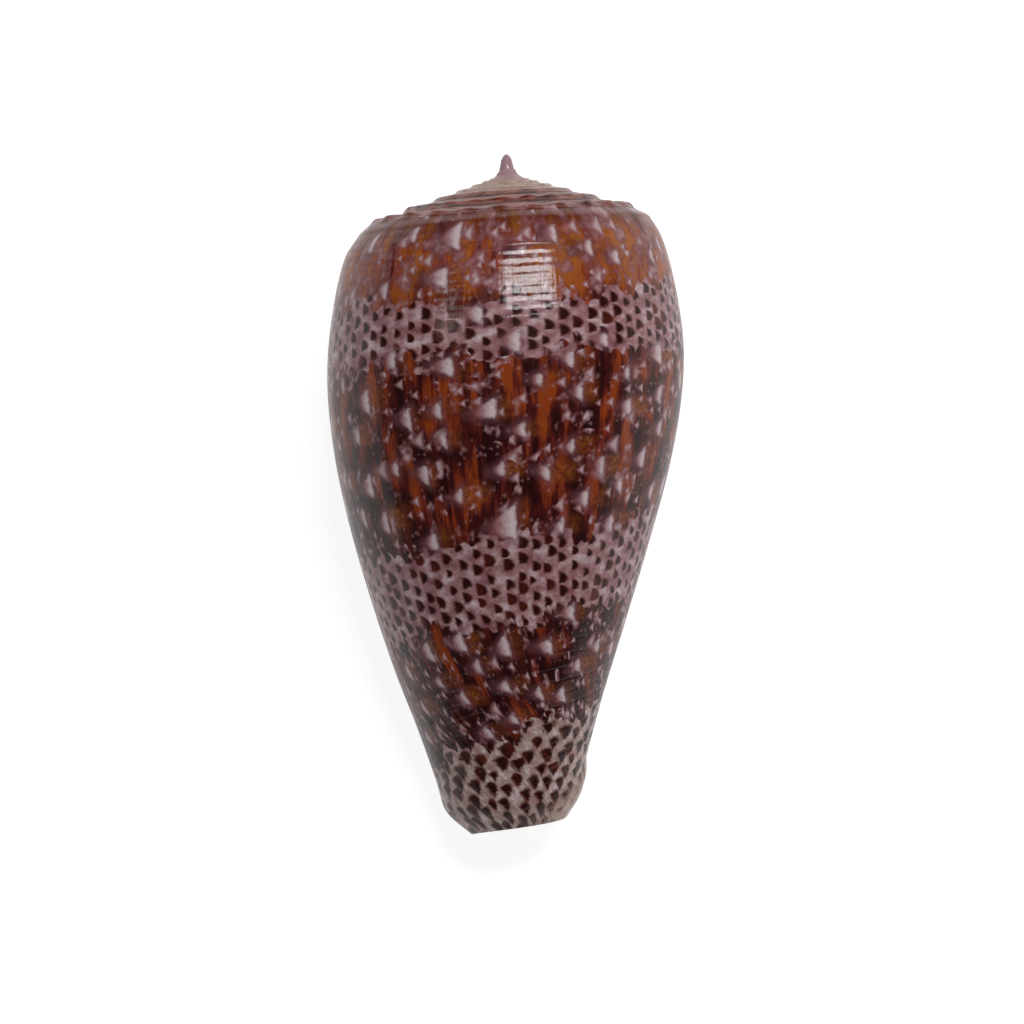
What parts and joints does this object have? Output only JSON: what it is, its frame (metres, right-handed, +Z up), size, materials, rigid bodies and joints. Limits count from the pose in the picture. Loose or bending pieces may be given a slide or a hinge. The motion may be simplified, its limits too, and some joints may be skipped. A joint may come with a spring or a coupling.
{
  "type": "cone shell",
  "caption": "Glossy cone-shaped sea snail shell with a pointed coronate spire and a long narrow aperture, lying on its aperture.",
  "frame": {"origin": "bottom centre of the shell's bounding box, on the surface it lies on", "axes": "+Y from the base towards the spire, +Z up through the back of the shell, +X to the right seen from above"},
  "size_m": [0.0312, 0.0586, 0.0296],
  "materials": {
    "shell": "polished shell, red-brown with lilac-white tent marks and dotted bands, porcelain white inside"
  },
  "bodies": {
    "root": {"shell": "shell"}
  },
  "joints": []
}
